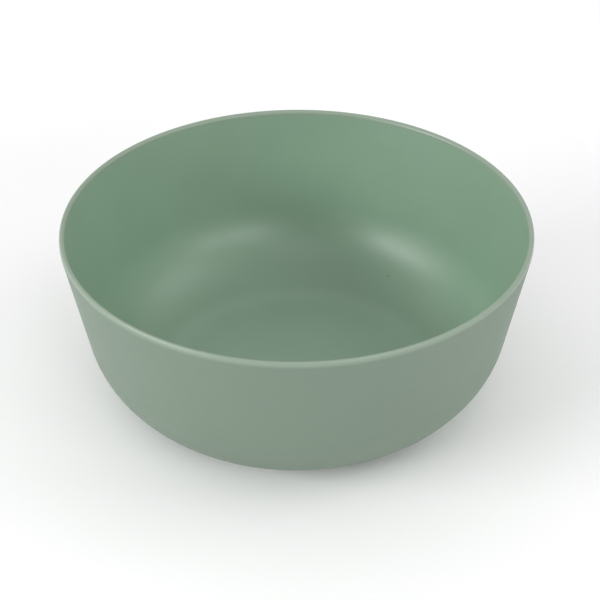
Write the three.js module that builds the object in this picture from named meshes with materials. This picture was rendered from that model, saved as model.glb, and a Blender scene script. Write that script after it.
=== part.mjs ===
// A mixing bowl, compression-moulded in one piece from melamine resin. A round wall
// leans outwards to a soft lip, a wide rolled corner leads into a flat floor, and the
// floor stands on a low foot ring. Sizes are in millimetres and +Z is up. The origin
// is the centre of the plane that the foot ring stands on.

import * as THREE from "three";

// Driving dimensions.
const HEIGHT = 99; // from the foot ring's face to the crest of the lip
const RIM_RADIUS = 120.5; // outer face of the wall, carried up to the crest's plane
const WALL_LEAN_DEG = 10.8; // how far the wall leans outwards from upright
const WALL_THICKNESS = 3;
const FLOOR_THICKNESS = 3;
const CORNER_RADIUS = 52; // outside of the rolled corner; the inside is concentric
const LIP_OUTER_DROP = 3.5; // how far down the outer face the lip's rounding reaches
const LIP_INNER_DROP = 1.6; // the same on the inner face
const FOOT_WIDTH = 4; // flat face of the foot ring
const FOOT_RECESS = 1; // depth of the underside inside the foot ring
const FOOT_EDGE_RADIUS = 0.4; // rounding of both edges of the recess's step

// How finely the round shapes are divided.
const SEGMENTS_AROUND = 96;
const STEPS_CORNER = 11;
const STEPS_LIP_OUTER = 6;
const STEPS_LIP_INNER = 4;
const STEPS_FOOT_EDGE = 2;

const SAGE_GREEN = 0x7a917d;
const SATIN_ROUGHNESS = 0.45;

const point = (radius, height) => new THREE.Vector2(radius, height);

// Whole numbers from 0 to count, which the arcs below are stepped by.
const stepsTo = (count) => Array.from({ length: count + 1 }, (_, i) => i);

// Circular fillet where the line from before to corner turns towards after.
function fillet(before, corner, after, radius, steps) {
  const back = before.clone().sub(corner).normalize();
  const ahead = after.clone().sub(corner).normalize();
  const halfAngle = Math.acos(back.dot(ahead)) / 2;
  const toCentre = back.clone().add(ahead).normalize();
  const centre = corner.clone().addScaledVector(toCentre, radius / Math.sin(halfAngle));
  const start = corner.clone().addScaledVector(back, radius / Math.tan(halfAngle));
  const turn = Math.sign(ahead.cross(back)) * (Math.PI - 2 * halfAngle);
  return stepsTo(steps).map((i) => start.clone().rotateAround(centre, (turn * i) / steps));
}

// Quarter of an ellipse from start to end, tangent to both lines that meet at corner.
function softCorner(start, corner, end, steps) {
  const fromCorner = start.clone().sub(corner);
  const toEnd = end.clone().sub(corner);
  return stepsTo(steps).map((i) => {
    const angle = ((Math.PI / 2) * i) / steps;
    return corner
      .clone()
      .addScaledVector(fromCorner, 1 - Math.sin(angle))
      .addScaledVector(toEnd, 1 - Math.cos(angle));
  });
}

// Section of the bowl on one side of the axis, from the centre of the underside out
// along the foot, up the outer face, over the lip and down to the centre of the floor.
function bowlSection() {
  const lean = THREE.MathUtils.degToRad(WALL_LEAN_DEG);
  const across = WALL_THICKNESS / Math.cos(lean); // the wall measured level
  const floorTop = FOOT_RECESS + FLOOR_THICKNESS;
  const outerWall = (z) => point(RIM_RADIUS - (HEIGHT - z) * Math.tan(lean), z);
  const innerWall = (z) => outerWall(z).sub(point(across, 0));
  const onAxis = (z) => point(0, z);

  const outerCorner = fillet(
    onAxis(0), outerWall(0), outerWall(HEIGHT), CORNER_RADIUS, STEPS_CORNER,
  );
  const innerCorner = fillet(
    innerWall(HEIGHT), innerWall(floorTop), onAxis(floorTop),
    CORNER_RADIUS - WALL_THICKNESS, STEPS_CORNER,
  );

  const stepRadius = outerCorner[0].x - FOOT_WIDTH;
  const stepTop = point(stepRadius, FOOT_RECESS);
  const stepBottom = point(stepRadius, 0);
  const footEdge = [
    ...fillet(onAxis(FOOT_RECESS), stepTop, stepBottom, FOOT_EDGE_RADIUS, STEPS_FOOT_EDGE),
    ...fillet(stepTop, stepBottom, outerCorner[0], FOOT_EDGE_RADIUS, STEPS_FOOT_EDGE),
  ];

  const crest = outerWall(HEIGHT).sub(point(across / 2, 0)); // halfway through the wall
  const lip = [
    ...softCorner(outerWall(HEIGHT - LIP_OUTER_DROP), outerWall(HEIGHT), crest, STEPS_LIP_OUTER),
    ...softCorner(crest, innerWall(HEIGHT), innerWall(HEIGHT - LIP_INNER_DROP), STEPS_LIP_INNER)
      .slice(1), // the crest is already there
  ];

  return [
    onAxis(FOOT_RECESS), ...footEdge, ...outerCorner, ...lip, ...innerCorner, onAxis(floorTop),
  ];
}

// The whole bowl: its section turned about the axis, then stood up from +Y to +Z.
function makeBowl() {
  const geometry = new THREE.LatheGeometry(bowlSection(), SEGMENTS_AROUND);
  geometry.rotateX(Math.PI / 2);
  const melamine = new THREE.MeshStandardMaterial({
    color: SAGE_GREEN,
    roughness: SATIN_ROUGHNESS,
    metalness: 0,
  });
  const mesh = new THREE.Mesh(geometry, melamine);
  mesh.name = "bowl";
  return mesh;
}

const mixingBowl = new THREE.Group();
mixingBowl.add(makeBowl());

export default mixingBowl;
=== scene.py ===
# %% [markdown]
# # A mixing bowl, moulded in one piece
#
# The real object is a kitchen mixing bowl in sage green melamine, a hard, satin plastic
# that is pressed hot in a two-part steel mould. It has one piece and nothing that
# moves. Its form is simple, so everything depends on four things: the true section, the
# soft lip, the satin surface and the light.
#
# The CAD model gives the frame: where the bowl stands and how large it is. This script
# makes the smooth bowl that is seen in its place, its material, and a small studio.
# Lengths are in metres.

# %% Load the frame
import math

import bpy
from mathutils import Euler, Matrix, Vector


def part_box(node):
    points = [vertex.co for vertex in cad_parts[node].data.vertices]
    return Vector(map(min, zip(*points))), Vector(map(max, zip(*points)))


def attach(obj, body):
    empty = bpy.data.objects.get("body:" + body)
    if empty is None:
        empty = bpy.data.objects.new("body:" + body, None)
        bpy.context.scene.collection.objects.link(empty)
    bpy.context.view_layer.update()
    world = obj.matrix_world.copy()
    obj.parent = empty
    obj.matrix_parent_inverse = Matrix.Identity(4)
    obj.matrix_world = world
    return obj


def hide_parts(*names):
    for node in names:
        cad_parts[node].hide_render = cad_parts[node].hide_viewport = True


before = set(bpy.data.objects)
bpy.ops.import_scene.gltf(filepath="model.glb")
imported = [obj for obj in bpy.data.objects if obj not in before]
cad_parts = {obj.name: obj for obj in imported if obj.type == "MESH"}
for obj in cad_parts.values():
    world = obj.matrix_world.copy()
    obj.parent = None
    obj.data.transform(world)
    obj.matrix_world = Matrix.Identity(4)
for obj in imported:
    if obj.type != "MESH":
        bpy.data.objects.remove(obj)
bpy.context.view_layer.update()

# %% [markdown]
# ## The sizes
#
# The height comes from the CAD box. The other sizes are those of the moulding: the wall
# leans outwards so that the bowl slides off its mould, the wall is as thick all the way
# so that the resin cures evenly, and the corner between wall and floor is rolled wide
# so that a spoon or a scraper reaches everything.

# %% Sizes of the moulding
MM = 0.001
bowl_low, bowl_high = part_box("bowl")
HEIGHT = bowl_high.z - bowl_low.z
RIM_RADIUS = 120.5 * MM      # outer face of the wall, carried up to the lip's crest
WALL_LEAN = math.radians(10.8)
WALL = 3.0 * MM
FLOOR = 3.0 * MM
CORNER_RADIUS = 52.0 * MM    # outside of the rolled corner
LIP_OUTER_DROP = 3.5 * MM    # how far down each face the lip's rounding reaches
LIP_INNER_DROP = 1.6 * MM
FOOT_WIDTH = 4.0 * MM
FOOT_RECESS = 1.0 * MM
FOOT_EDGE_RADIUS = 0.4 * MM

# %% [markdown]
# ## Round corners in a drawn section
#
# A section is drawn as straight lines that meet at sharp corners, and then each corner
# is rounded. Blender's bevel could do it, but it makes a true circle only at a right
# angle, and no corner of this bowl is one. Two small functions give the points instead:
# one for a circular fillet, and one for a soft corner that runs further down one side
# than the other, as the lip does.

# %% Fillet and soft corner
def fillet(before, corner, after, radius, steps):
    """Points of a circular fillet, where the line from before to corner turns to after."""
    back = (before - corner).normalized()
    ahead = (after - corner).normalized()
    half_angle = back.angle(ahead) / 2
    centre = corner + (back + ahead).normalized() * (radius / math.sin(half_angle))
    to_start = (corner + back * (radius / math.tan(half_angle)) - centre).normalized()
    to_end = (corner + ahead * (radius / math.tan(half_angle)) - centre).normalized()
    return [centre + to_start.slerp(to_end, i / steps) * radius for i in range(steps + 1)]


def soft_corner(start, corner, end, steps):
    """Points of a quarter ellipse from start to end, tangent to both lines at corner."""
    angles = [math.pi / 2 * i / steps for i in range(steps + 1)]
    return [corner + (start - corner) * (1 - math.sin(a)) + (end - corner) * (1 - math.cos(a))
            for a in angles]


def section_point(radius, height):
    """A point of the section, which is drawn in the XZ plane."""
    return Vector((radius, 0, height))

# %% [markdown]
# ## The section of the bowl
#
# Half a section is enough, because the bowl is round. It runs from the middle of the
# underside out over the foot ring, up the outer face, over the lip, down the inner face
# and across the floor to the middle. The inner corner is concentric with the outer one.

# %% Draw the half section
STEPS_CORNER = 36
STEPS_LIP = 12
STEPS_FOOT_EDGE = 5

wall_across = WALL / math.cos(WALL_LEAN)   # the leaning wall, measured level
floor_top = FOOT_RECESS + FLOOR


def outer_wall(z):
    return section_point(RIM_RADIUS - (HEIGHT - z) * math.tan(WALL_LEAN), z)


def inner_wall(z):
    return outer_wall(z) - section_point(wall_across, 0)


outer_corner = fillet(section_point(0, 0), outer_wall(0), outer_wall(HEIGHT),
                      CORNER_RADIUS, STEPS_CORNER)
inner_corner = fillet(inner_wall(HEIGHT), inner_wall(floor_top), section_point(0, floor_top),
                      CORNER_RADIUS - WALL, STEPS_CORNER)
crest = outer_wall(HEIGHT) - section_point(wall_across / 2, 0)
lip = (soft_corner(outer_wall(HEIGHT - LIP_OUTER_DROP), outer_wall(HEIGHT), crest, STEPS_LIP)
       + soft_corner(crest, inner_wall(HEIGHT), inner_wall(HEIGHT - LIP_INNER_DROP), STEPS_LIP)[1:])

step_top = section_point(outer_corner[0].x - FOOT_WIDTH, FOOT_RECESS)
step_bottom = section_point(step_top.x, 0)
foot_edge = (fillet(section_point(0, FOOT_RECESS), step_top, step_bottom,
                    FOOT_EDGE_RADIUS, STEPS_FOOT_EDGE)
             + fillet(step_top, step_bottom, outer_corner[0],
                      FOOT_EDGE_RADIUS, STEPS_FOOT_EDGE))

section = ([section_point(0, FOOT_RECESS)] + foot_edge + outer_corner + lip + inner_corner
           + [section_point(0, floor_top)])
print("section:", len(section), "points")

# %% [markdown]
# ## Spin the section into a bowl
#
# A potter would press a template of this shape against turning clay. In Blender the
# template is one vertex, extruded from point to point, and then spun a full turn about
# the Z axis. A frustum with inset and bevelled faces would also make a bowl, but the
# spin keeps every point of the section exactly where it was drawn.
#
# The spin leaves a stack of doubled points on the axis and along its own start, so the
# doubles are merged and the normals turned outwards before the surface is smoothed.

# %% Helpers for edit mode
def start_piece(name, add_primitive, **settings):
    """Adds a primitive with nothing else selected, and gives it its name."""
    bpy.ops.object.select_all(action="DESELECT")
    add_primitive(**settings)
    piece = bpy.context.object
    piece.name = name
    piece.data.name = name
    return piece


def rest_at_origin(piece):
    """Puts the piece's place into its mesh, so that its object sits at the origin."""
    bpy.ops.object.select_all(action="DESELECT")
    piece.select_set(True)
    bpy.context.view_layer.objects.active = piece
    bpy.ops.object.transform_apply(location=True, rotation=True, scale=True)

# %% Draw and spin
STEPS_AROUND = 256
MERGE_WITHIN = 0.001 * MM

bowl = start_piece("moulded_bowl", bpy.ops.mesh.primitive_plane_add,
                   size=2 * MM, location=section[0])
rest_at_origin(bowl)
bpy.ops.object.mode_set(mode="EDIT")
bpy.ops.mesh.select_all(action="SELECT")
bpy.ops.mesh.merge(type="CENTER")
for here, there in zip(section, section[1:]):
    bpy.ops.mesh.extrude_vertices_move(TRANSFORM_OT_translate={"value": there - here})
bpy.ops.mesh.select_all(action="SELECT")
bpy.ops.mesh.spin(steps=STEPS_AROUND, angle=math.tau, center=(0, 0, 0), axis=(0, 0, 1))
bpy.ops.mesh.select_all(action="SELECT")
bpy.ops.mesh.remove_doubles(threshold=MERGE_WITHIN)
bpy.ops.mesh.normals_make_consistent(inside=False)
bpy.ops.object.mode_set(mode="OBJECT")
bpy.ops.object.shade_smooth()
print("moulded_bowl:", len(bowl.data.vertices), "vertices,", len(bowl.data.polygons), "faces")

# %% [markdown]
# ## Colours and nodes
#
# Colours are written as the hex values that a designer would use and are turned to
# linear light by one function. One helper adds a shader node with its settings and
# links, so that a material reads as a list of what it is made of.

# %% Helpers for materials
def linear(hex_colour):
    """A "#rrggbb" colour as linear red, green, blue and alpha."""
    def channel(start):
        value = int(hex_colour[start:start + 2], 16) / 255
        return value / 12.92 if value <= 0.04045 else ((value + 0.055) / 1.055) ** 2.4
    return (channel(1), channel(3), channel(5), 1.0)


def add_node(tree, kind, settings=None, links=None):
    """Adds a node. Settings and links go to properties or inputs, by name or by number."""
    node = tree.nodes.new(kind)
    for name, value in (settings or {}).items():
        if isinstance(name, int) or name in node.inputs:
            node.inputs[name].default_value = value
        else:
            setattr(node, name, value)
    for name, output in (links or {}).items():
        tree.links.new(output, node.inputs[name])
    return node


def ramp(tree, value, low, high, to_low=0.0, to_high=1.0):
    """Eases from to_low to to_high while value goes from low to high."""
    return add_node(tree, "ShaderNodeMapRange",
                    {"interpolation_type": "SMOOTHSTEP", "From Min": low, "From Max": high,
                     "To Min": to_low, "To Max": to_high},
                    {"Value": value}).outputs["Result"]


def noise(tree, place, size, detail=2.0):
    """Cloudy noise from 0 to 1 whose patches are about size metres across."""
    return add_node(tree, "ShaderNodeTexNoise", {"Scale": 1 / size, "Detail": detail},
                    {"Vector": place}).outputs["Fac"]


def blend_colours(tree, mask, first, second):
    """Goes from the first colour to the second where the mask is 1."""
    # The colour sockets of this node share their names with its number sockets.
    blend = add_node(tree, "ShaderNodeMix", {"data_type": "RGBA"})
    tree.links.new(mask, blend.inputs["Factor"])
    for socket, colour in ((6, first), (7, second)):
        if isinstance(colour, tuple):
            blend.inputs[socket].default_value = colour
        else:
            tree.links.new(colour, blend.inputs[socket])
    return blend.outputs[2]


def calculate(tree, operation, *values):
    """One arithmetic step. Each value is a number or another node's output."""
    step = add_node(tree, "ShaderNodeMath", {"operation": operation})
    for number, value in enumerate(values):
        if isinstance(value, (int, float)):
            step.inputs[number].default_value = value
        else:
            tree.links.new(value, step.inputs[number])
    return step.outputs["Value"]

# %% [markdown]
# ## The melamine: what it is and where it differs
#
# Melamine resin, filled with paper pulp and pigment, is pressed for a minute or so at
# 160 degrees between two halves of a steel mould. The colour goes all the way through.
# What differs from place to place is the surface, which follows how it was made, and the
# light, which is painted into three of the colours:
#
# - **The inside** is shaped by the punch, which is lapped smooth so that food wipes off.
#   It shows the pigment at full strength and carries soft, blurred reflections.
# - **The outside** is shaped by the cavity, which is blasted to a matt satin. Its colour is
#   painted shade: the same resin, drawn darker and greyer than the inside.
# - **The lip** is where the two halves meet. The thin flash left there is ground off and
#   buffed, which leaves it a little glossier. Its paler band is painted light, where the top
#   of the lip catches the light.
# - **The bottom of the inside** is drawn lighter and greyer than the wall: painted light
#   and a painted reflection.
# - **The foot ring** gets scuffed by every table it is pushed across.
#
# Each of these is a mask: a value from 0 to 1 over the surface. The outside is found by
# which way the surface faces, outwards or down, and the rest by height.

# %% Masks of the bowl's surfaces
LIP_BAND = 3.6 * MM      # how far down from the crest the lip's painted light and its gloss reach
LIP_CORE = 0.6 * MM      # how far down it is complete
FOOT_BAND = 0.5 * MM     # how far up from the table the scuffs reach
UNDERSIDE = 2.0 * MM     # everything lower than this belongs to the outside
TURN_TO_OUTSIDE = (-0.6, 0.9)   # how far the surface faces out where the finish changes
BOTTOM_LIGHT_FROM = 8.0 * MM     # height above the table where the painted light inside the bowl begins
BOTTOM_LIGHT_FULLY = 4.5 * MM    # and below which it is complete


def surface_masks(tree):
    """Where the outside, the bottom painted lighter, the lip and the foot are, each from 0 to 1."""
    coords = add_node(tree, "ShaderNodeTexCoord").outputs
    place, facing = coords["Object"], coords["Normal"]
    height = add_node(tree, "ShaderNodeSeparateXYZ", links={0: place}).outputs["Z"]

    # Away from the axis and down, as one vector: the outside faces along it.
    level = add_node(tree, "ShaderNodeVectorMath", {"operation": "MULTIPLY", 1: (1, 1, 0)},
                     {0: place}).outputs["Vector"]
    away = add_node(tree, "ShaderNodeVectorMath", {"operation": "NORMALIZE"},
                    {0: level}).outputs["Vector"]
    away_and_down = add_node(tree, "ShaderNodeVectorMath",
                             {"operation": "SUBTRACT", 1: (0, 0, 1)},
                             {0: away}).outputs["Vector"]
    agreement = add_node(tree, "ShaderNodeVectorMath", {"operation": "DOT_PRODUCT"},
                         {0: facing, 1: away_and_down}).outputs["Value"]
    faces_out = ramp(tree, agreement, *TURN_TO_OUTSIDE)
    low_down = calculate(tree, "LESS_THAN", height, UNDERSIDE)

    # The bottom inside, which is painted lighter and greyer: painted light.
    inside_low = ramp(tree, height, BOTTOM_LIGHT_FULLY, BOTTOM_LIGHT_FROM, 1.0, 0.0)
    outside = calculate(tree, "MAXIMUM", faces_out, low_down)
    return {"place": place,
            "outside": outside,
            "lit_bottom": calculate(tree, "MULTIPLY", inside_low,
                              calculate(tree, "SUBTRACT", 1.0, outside)),
            "lip": ramp(tree, height, HEIGHT - LIP_BAND, HEIGHT - LIP_CORE),
            "foot": ramp(tree, height, 0.0, FOOT_BAND, 1.0, 0.0)}

# %% [markdown]
# ## The melamine: colour
#
# Four shades of the resin are laid over each other by the masks. Only the inside's is the
# resin's own: the outside's darker, greyer one is painted shade, and the paler ones of the
# lip and the bottom are painted light. Then come the small things that tell a moulding
# from a computer drawing. The pigment is never mixed perfectly, so the shade drifts by one
# or two percent over areas as wide as a palm. The pulp shows as a very fine fleck. And a
# press that makes thousands of bowls leaves a grain of scorched resin here and there: this
# bowl has one, a millimetre wide, inside on the right.
#
# The real fleck is about 0.1 mm, which would only turn to noise at this distance, so it
# is drawn at 1.2 mm and kept very weak.

# %% Colour of the resin
INSIDE_COLOUR = linear("#829d87")
# Painted shade: the outside is the same resin, drawn darker and greyer than the inside.
OUTSIDE_SHADED_COLOUR = linear("#6f8171")
# Painted light: the lip is drawn paler, where its top catches the light.
LIP_LIT_COLOUR = linear("#879887")
# Painted light: the bottom inside is drawn lighter and greyer than the wall.
BOTTOM_LIT_COLOUR = linear("#8fa794")
SCUFF_COLOUR = linear("#a3aca4")
SCORCH_COLOUR = linear("#5f7060")
DRIFT_SIZE = 45 * MM
FLECK_SIZE = 1.2 * MM
DRIFT = 0.035                # how much the shade drifts, as a part of the whole
FLECK = 0.02
SCUFF_SIZE = 3 * MM
SCUFF_RANGE = (0.45, 0.65)   # part of the noise that shows as scuffs
NOISE_RANGE = (0.3, 0.7)     # nearly all of a noise's values lie between these
SPECK_PLACE = (52.4 * MM, 73.8 * MM, 15.6 * MM)
SPECK_RADIUS = 0.5 * MM
SPECK_EDGE = 0.2 * MM        # how soft its edge is, to either side


def resin_colour(tree, masks):
    """The colour of each place on the bowl."""
    place = masks["place"]
    # The outside is painted darker and greyer here: painted shade.
    skin = blend_colours(tree, masks["outside"], INSIDE_COLOUR, OUTSIDE_SHADED_COLOUR)
    # The bottom inside is painted lighter and greyer here: painted light and reflection.
    skin = blend_colours(tree, masks["lit_bottom"], skin, BOTTOM_LIT_COLOUR)
    # The lip is painted paler here: painted light on its top.
    skin = blend_colours(tree, masks["lip"], skin, LIP_LIT_COLOUR)

    # Drift and fleck swing around 1, and the colour is multiplied by them.
    drift = ramp(tree, noise(tree, place, DRIFT_SIZE), *NOISE_RANGE, 1 - DRIFT / 2, 1 + DRIFT / 2)
    fleck = ramp(tree, noise(tree, place, FLECK_SIZE), *NOISE_RANGE, 1 - FLECK / 2, 1 + FLECK / 2)
    shade = calculate(tree, "MULTIPLY", drift, fleck)
    skin = add_node(tree, "ShaderNodeVectorMath", {"operation": "SCALE"},
                    {0: skin, "Scale": shade}).outputs["Vector"]

    scuffs = ramp(tree, noise(tree, place, SCUFF_SIZE, detail=6.0), *SCUFF_RANGE)
    scuffed = calculate(tree, "MULTIPLY", masks["foot"], scuffs)
    skin = blend_colours(tree, scuffed, skin, SCUFF_COLOUR)

    distance = add_node(tree, "ShaderNodeVectorMath", {"operation": "DISTANCE", 1: SPECK_PLACE},
                        {0: place}).outputs["Value"]
    speck = ramp(tree, distance, SPECK_RADIUS - SPECK_EDGE, SPECK_RADIUS + SPECK_EDGE, 1.0, 0.0)
    return blend_colours(tree, speck, skin, SCORCH_COLOUR)

# %% [markdown]
# ## The melamine: gloss and texture
#
# A mould's finish is a roughness in the shader: 0.39 inside, where a lamp becomes a
# blurred patch, and 0.5 outside. Neither is even. Washing and stirring polish some
# patches, and the resin shrinks slightly over its pulp, which leaves the surface faintly
# wavy. The blasted texture itself has hollows of 0.05 mm, far too fine to show as relief
# at this distance. It is drawn ten times as coarse and a few thousandths of a millimetre
# deep, just enough to break up the edges of a reflection.

# %% Gloss and texture of the resin
INSIDE_ROUGHNESS = 0.39
OUTSIDE_ROUGHNESS = 0.5
LIP_ROUGHNESS = 0.36
UNEVEN_GLOSS = 0.05
POLISH_SIZE = 22 * MM
WAVE_SIZE = 14 * MM
WAVE_DEPTH = 0.006 * MM
GRAIN_SIZE = 0.5 * MM
GRAIN_DEPTH = 0.002 * MM


def resin_roughness(tree, masks):
    """How blurred a reflection is at each place."""
    skin = ramp(tree, masks["outside"], 0.0, 1.0, INSIDE_ROUGHNESS, OUTSIDE_ROUGHNESS)
    to_lip = calculate(tree, "MULTIPLY", masks["lip"],
                       calculate(tree, "SUBTRACT", LIP_ROUGHNESS, skin))
    uneven = ramp(tree, noise(tree, masks["place"], POLISH_SIZE, detail=4.0), *NOISE_RANGE,
                  -UNEVEN_GLOSS / 2, UNEVEN_GLOSS / 2)
    return calculate(tree, "ADD", calculate(tree, "ADD", skin, to_lip), uneven)


def resin_relief(tree, masks):
    """Normals of a faintly wavy surface with a fine grain on it."""
    waves = add_node(tree, "ShaderNodeBump", {"Distance": WAVE_DEPTH},
                     {"Height": noise(tree, masks["place"], WAVE_SIZE)}).outputs["Normal"]
    return add_node(tree, "ShaderNodeBump", {"Distance": GRAIN_DEPTH},
                    {"Height": noise(tree, masks["place"], GRAIN_SIZE),
                     "Normal": waves}).outputs["Normal"]

# %% Material: moulded melamine
MELAMINE_IOR = 1.6


def moulded_melamine():
    """Compression-moulded melamine resin: a hard, satin, non-metallic plastic."""
    material = bpy.data.materials.new("moulded_melamine")
    material.use_nodes = True
    tree = material.node_tree
    tree.nodes.clear()
    masks = surface_masks(tree)
    shader = add_node(tree, "ShaderNodeBsdfPrincipled", {"IOR": MELAMINE_IOR},
                      {"Base Color": resin_colour(tree, masks),
                       "Roughness": resin_roughness(tree, masks),
                       "Normal": resin_relief(tree, masks)})
    add_node(tree, "ShaderNodeOutputMaterial", links={"Surface": shader.outputs["BSDF"]})
    return material


melamine = moulded_melamine()
bowl.data.materials.clear()
bowl.data.materials.append(melamine)
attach(bowl, "root")
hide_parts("bowl")
print("moulded_melamine:", len(melamine.node_tree.nodes), "nodes")

# %% [markdown]
# ## The studio floor
#
# A small object for a catalogue is shot on a wide sheet of white paper. The sheet does
# two jobs: it is the background, and it throws light up onto the outside of the bowl,
# which leans out over it and would be dark underneath without it. The paper is matt and
# not quite white, with a little drift in its tone, like real paper.

# %% Floor
FLOOR_SIDE = 9.0
PAPER_ROUGHNESS = 0.9
PAPER_TONE_SIZE = 0.4


def white_paper():
    """Matt white background paper, with a very slight unevenness."""
    material = bpy.data.materials.new("white_paper")
    material.use_nodes = True
    tree = material.node_tree
    shader = tree.nodes["Principled BSDF"]
    place = add_node(tree, "ShaderNodeTexCoord").outputs["Object"]
    tone = blend_colours(tree, noise(tree, place, PAPER_TONE_SIZE),
                         linear("#f9f9f9"), linear("#f6f6f6"))
    tree.links.new(tone, shader.inputs["Base Color"])
    shader.inputs["Roughness"].default_value = PAPER_ROUGHNESS
    return material


floor = start_piece("studio_floor", bpy.ops.mesh.primitive_plane_add, size=FLOOR_SIDE)
floor.data.materials.append(white_paper())
print("studio_floor:", FLOOR_SIDE, "m square")

# %% [markdown]
# ## The camera
#
# The camera looks down at about 35 degrees, from three and a half bowl widths away. That
# is high enough to show the floor of the bowl over the near side of its lip, and far
# enough that the near side doesn't look swollen. It is aimed at the middle of the bowl's
# height.

# %% Camera
VIEW_ELEVATION = math.radians(34.83)
VIEW_ROLL = math.radians(0.16)     # the camera isn't quite level
VIEW_WIDTHS_AWAY = 3.546
AIM_WIDTHS_RIGHT = 0.0067          # the bowl stands a hair left of the middle
AIM_HEIGHTS_UP = 0.5072
FOCAL_LENGTH = 97.26               # a short telephoto lens on a 36 mm sensor
SENSOR_WIDTH = 36

bowl_width = bowl_high.x - bowl_low.x
view_distance = VIEW_WIDTHS_AWAY * bowl_width
aim = Vector((AIM_WIDTHS_RIGHT * bowl_width, 0, AIM_HEIGHTS_UP * HEIGHT))

camera_data = bpy.data.cameras.new("studio_camera")
camera_data.lens = FOCAL_LENGTH
camera_data.sensor_width = SENSOR_WIDTH
camera = bpy.data.objects.new("studio_camera", camera_data)
bpy.context.scene.collection.objects.link(camera)
back = Vector((0, -math.cos(VIEW_ELEVATION), math.sin(VIEW_ELEVATION)))
camera.location = aim + back * view_distance
upright = Euler((math.pi / 2 - VIEW_ELEVATION, 0, 0)).to_matrix()
roll = Matrix.Rotation(-VIEW_ROLL, 3, back)
camera.rotation_euler = (roll @ upright).to_euler()
bpy.context.scene.camera = camera
print("camera:", round(view_distance * 1000), "mm away")

# %% [markdown]
# ## The light
#
# A white room gives most of the light. It is even, so nothing falls into black, but it is
# dim on the camera's side, where dark curtains hang behind the camera. That is why the
# side of the bowl that faces the camera is a little darker than its flanks.
#
# Low strip softboxes do the drawing. Their light skims over the near side of the lip and
# strikes the far wall, and where the wall rolls into the floor it makes a soft highlight.
# The key is a wide strip on the left, and its highlight lies on the right. Two short
# strips share the other side. With a dim gap between them they spread the left highlight
# towards the middle without a hot spot.
#
# Two faint panels finish it: one over the camera lifts the rolled corner, and one on the
# right keeps that flank from going dull.
#
# All of them are large and stand well back, four metres away, so the floor is lit evenly
# far beyond the bowl. A softbox is described by how bright its face is beside white
# paper, because that is what a reflection shows. Its power in watts follows from that.

# %% Softboxes
LAMP_DISTANCE = 4.2


def softbox(name, azimuth, elevation, width, height, brightness):
    """A softbox that faces the bowl's middle. Azimuth 0 is the camera's side."""
    data = bpy.data.lights.new(name, "AREA")
    data.shape = "RECTANGLE"
    data.size = width
    data.size_y = height
    data.energy = brightness * math.pi * width * height
    lamp = bpy.data.objects.new(name, data)
    bpy.context.scene.collection.objects.link(lamp)
    a, e = math.radians(azimuth), math.radians(elevation)
    direction = Vector((math.sin(a) * math.cos(e), -math.cos(a) * math.cos(e), math.sin(e)))
    lamp.location = Vector((0, 0, HEIGHT / 2)) + direction * LAMP_DISTANCE
    lamp.rotation_euler = direction.to_track_quat("Z", "Y").to_euler()
    lamp.visible_camera = False
    print(f"{name}: {data.energy:.1f} W")


# Azimuth and elevation in degrees, then width and height, then brightness.
softbox("left_strip", -65, 22.6, 2.75, 0.63, 17.2)
softbox("right_strip", 52, 21, 1.45, 0.63, 7.5)
softbox("front_strip", 27, 24.5, 1.45, 0.63, 8.8)
softbox("front_panel", 0, 49, 2.3, 1.75, 1.2)
softbox("right_panel", 90, 39, 2.3, 1.75, 1.4)

# %% White room
ROOM_BRIGHTNESS = 0.84
CAMERA_SIDE_BRIGHTNESS = 0.25
CURTAIN_EDGES = (-0.95, -0.1)   # how far forward the room is dimmest, and how far evenly bright

world = bpy.data.worlds.new("white_room")
bpy.context.scene.world = world
world.use_nodes = True
tree = world.node_tree
direction = add_node(tree, "ShaderNodeTexCoord").outputs["Generated"]
towards_back = add_node(tree, "ShaderNodeSeparateXYZ", links={0: direction}).outputs["Y"]
room = tree.nodes["Background"]
room.inputs["Color"].default_value = linear("#ffffff")
brightness = ramp(tree, towards_back, *CURTAIN_EDGES, CAMERA_SIDE_BRIGHTNESS, ROOM_BRIGHTNESS)
tree.links.new(brightness, room.inputs["Strength"])
bpy.context.scene.view_settings.view_transform = "Standard"
print("white_room:", ROOM_BRIGHTNESS, "all round,", CAMERA_SIDE_BRIGHTNESS, "behind the camera")
